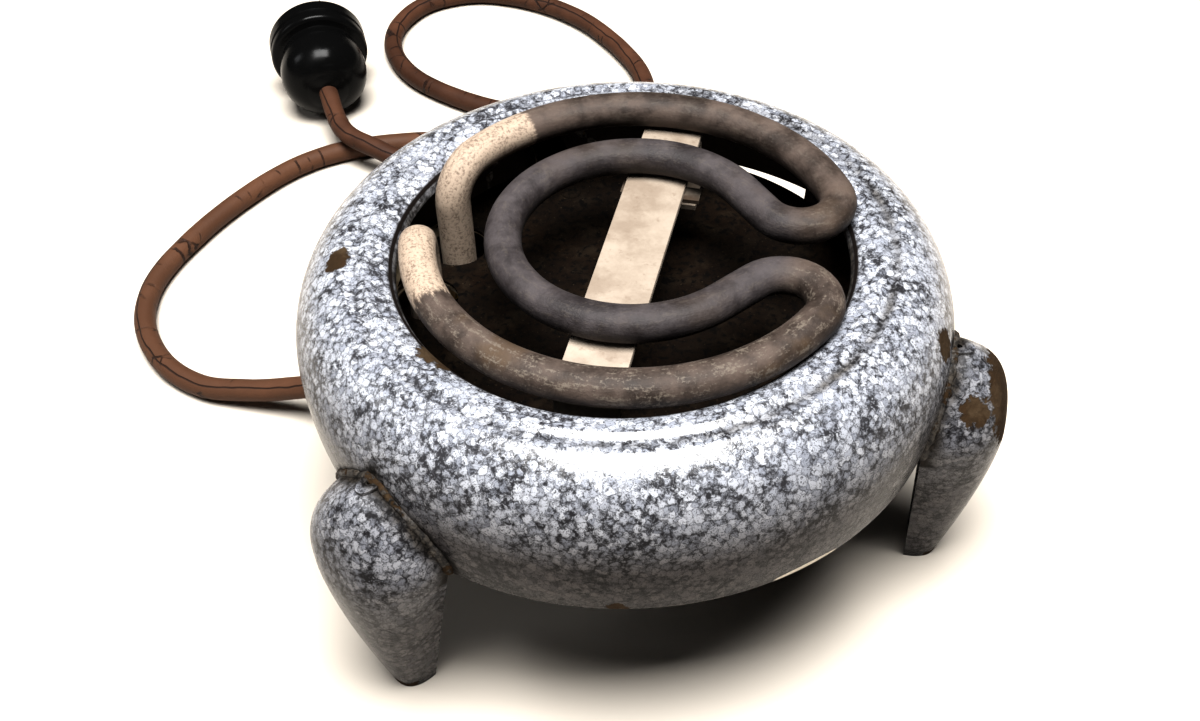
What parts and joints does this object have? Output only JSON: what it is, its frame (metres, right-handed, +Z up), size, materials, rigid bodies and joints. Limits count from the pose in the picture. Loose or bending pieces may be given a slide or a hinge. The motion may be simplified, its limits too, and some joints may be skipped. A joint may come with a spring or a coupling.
{
  "type": "hot plate burner",
  "caption": "A vintage single hot plate burner: a low round body in blue-grey speckled enamel on three moulded feet, an open heating coil, a brown fabric cord and a black round plug",
  "frame": {"origin": "on the table, under the centre of the round body", "axes": "+Z up, square to the table; +X to the body's right and +Y towards its back, as seen from the side facing the viewer"},
  "size_m": [0.2746, 0.3821, 0.1099],
  "materials": {
    "speckled_enamel": "glossy blue-grey speckled enamel, worn and stained",
    "rusted_sheet": "dark brown rust and soot",
    "oxidised_sheath": "matte dark grey-brown oxide, pale tan at the cold ends",
    "pale_bar": "dull cream-grey, stained by heat",
    "dull_steel": "dull, lightly rusted",
    "dark_sheet": "dark heat-stained sheet",
    "old_brass": "tarnished",
    "ceramic": "matte ceramic",
    "mica": "dull, slightly layered",
    "cloth_lead": "woven sleeve",
    "braided_cord": "brown fabric, cracked and worn",
    "old_rubber": "hard old black rubber",
    "black_phenolic": "glossy black moulding",
    "fibre_disc": "dull brown pressed fibre"
  },
  "bodies": {
    "root": {"body_shell": "speckled_enamel", "foot_left": "speckled_enamel", "foot_right": "speckled_enamel", "foot_rear": "speckled_enamel", "drip_pan": "rusted_sheet", "pan_arms": "rusted_sheet", "pan_rivets": "dull_steel", "arm_bolts": "dull_steel", "arm_nuts": "dull_steel", "heating_element": "oxidised_sheath", "end_seals": "ceramic", "terminal_studs": "old_brass", "terminal_nuts": "old_brass", "ring_lugs": "old_brass", "lead_live": "cloth_lead", "lead_neutral": "cloth_lead", "support_bar": "pale_bar", "bar_rivets": "dull_steel", "element_clips": "dull_steel", "mica_sheet": "mica", "terminal_cover": "dark_sheet", "cover_posts": "dull_steel", "cover_screws": "dull_steel", "cord_sleeve": "old_rubber", "cord_clamp": "dull_steel", "clamp_screws": "dull_steel", "cord_inner": "braided_cord", "power_cord": "braided_cord", "plug_body": "black_phenolic", "plug_face": "fibre_disc", "plug_blades": "old_brass", "plug_screws": "old_brass"}
  },
  "joints": []
}
